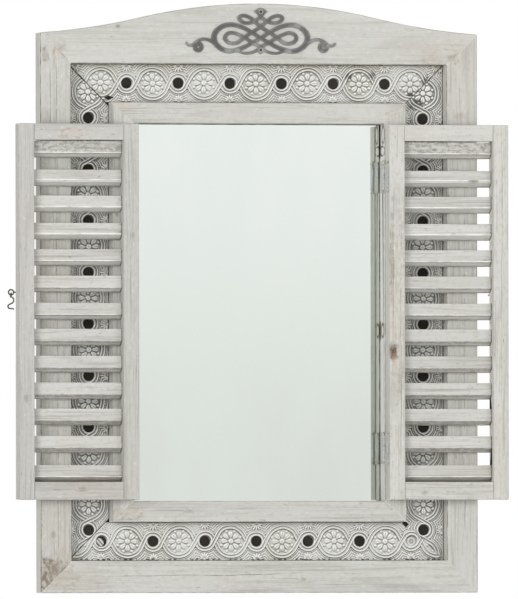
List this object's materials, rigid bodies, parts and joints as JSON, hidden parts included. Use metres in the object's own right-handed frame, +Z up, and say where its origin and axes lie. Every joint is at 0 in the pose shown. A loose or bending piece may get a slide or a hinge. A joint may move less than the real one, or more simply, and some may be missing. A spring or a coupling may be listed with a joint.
{
  "type": "shutter mirror",
  "caption": "Arched wooden wall mirror with a pressed tin band, louvred shutters that fold closed over the glass, a scroll ornament and a hook latch.",
  "frame": {"origin": "Middle of the line between the two hanging holes, on the wall plane.", "axes": "+Z up, +Y into the wall, so the mirror faces -Y, and +X to a viewer's right."},
  "size_m": [0.6822, 0.0625, 0.79],
  "materials": {
    "white_wood": "worn whitewash over softwood",
    "white_slats": "whitewash over softwood",
    "pressed_tin": "whitewashed, dark in its hollows",
    "back_boards": "dark stained hardboard",
    "mirror_glass": "silvered",
    "iron": "dull dark grey",
    "zinc_fittings": "dull zinc, partly painted over"
  },
  "bodies": {
    "frame": {"outer_stile_left": "white_wood", "outer_stile_right": "white_wood", "crest_rail": "white_wood", "outer_bottom_rail": "white_wood", "inner_stile_left": "white_wood", "inner_stile_right": "white_wood", "inner_top_rail": "white_wood", "inner_bottom_rail": "white_wood", "tin_strip_left": "pressed_tin", "tin_strip_right": "pressed_tin", "tin_strip_top": "pressed_tin", "tin_strip_bottom": "pressed_tin", "carrier_board": "back_boards", "mirror_glass": "mirror_glass", "back_cover": "back_boards", "cover_screws": "zinc_fittings", "inner_frame_screws": "zinc_fittings", "scroll_ornament": "iron", "ornament_screws": "zinc_fittings", "hanger_plate_left": "zinc_fittings", "hanger_plate_right": "zinc_fittings", "hanger_screws": "zinc_fittings", "frame_leaf_left_upper": "zinc_fittings", "frame_leaf_left_lower": "zinc_fittings", "frame_leaf_right_upper": "zinc_fittings", "frame_leaf_right_lower": "zinc_fittings", "hinge_pin_left_upper": "zinc_fittings", "hinge_pin_left_lower": "zinc_fittings", "hinge_pin_right_upper": "zinc_fittings", "hinge_pin_right_lower": "zinc_fittings", "frame_leaf_screws": "zinc_fittings"},
    "left_shutter": {"shutter_leaf_left_upper": "zinc_fittings", "shutter_leaf_left_lower": "zinc_fittings", "left_leaf_screws": "zinc_fittings", "left_hinge_stile": "white_wood", "left_free_stile": "white_wood", "left_top_rail": "white_wood", "left_bottom_rail": "white_wood", "left_slats": "white_slats", "hook_eye": "iron"},
    "right_shutter": {"shutter_leaf_right_upper": "zinc_fittings", "shutter_leaf_right_lower": "zinc_fittings", "right_leaf_screws": "zinc_fittings", "right_hinge_stile": "white_wood", "right_free_stile": "white_wood", "right_top_rail": "white_wood", "right_bottom_rail": "white_wood", "right_slats": "white_slats", "catch_eye": "iron"},
    "hook": {"latch_hook": "iron"}
  },
  "joints": [
    {"name": "left_shutter_hinge", "type": "hinge", "parent": "frame", "child": "left_shutter", "pos_m": [-0.1703, -0.03675, -0.314], "axis": [0, 0, 1], "range_deg": [0, 180]},
    {"name": "right_shutter_hinge", "type": "hinge", "parent": "frame", "child": "right_shutter", "pos_m": [0.1703, -0.03675, -0.314], "axis": [0, 0, -1], "range_deg": [0, 180]},
    {"name": "hook_swing", "type": "hinge", "parent": "left_shutter", "child": "hook", "pos_m": [-0.34105, -0.0345, -0.288], "axis": [0, 1, 0], "range_deg": [-40, 85]}
  ]
}
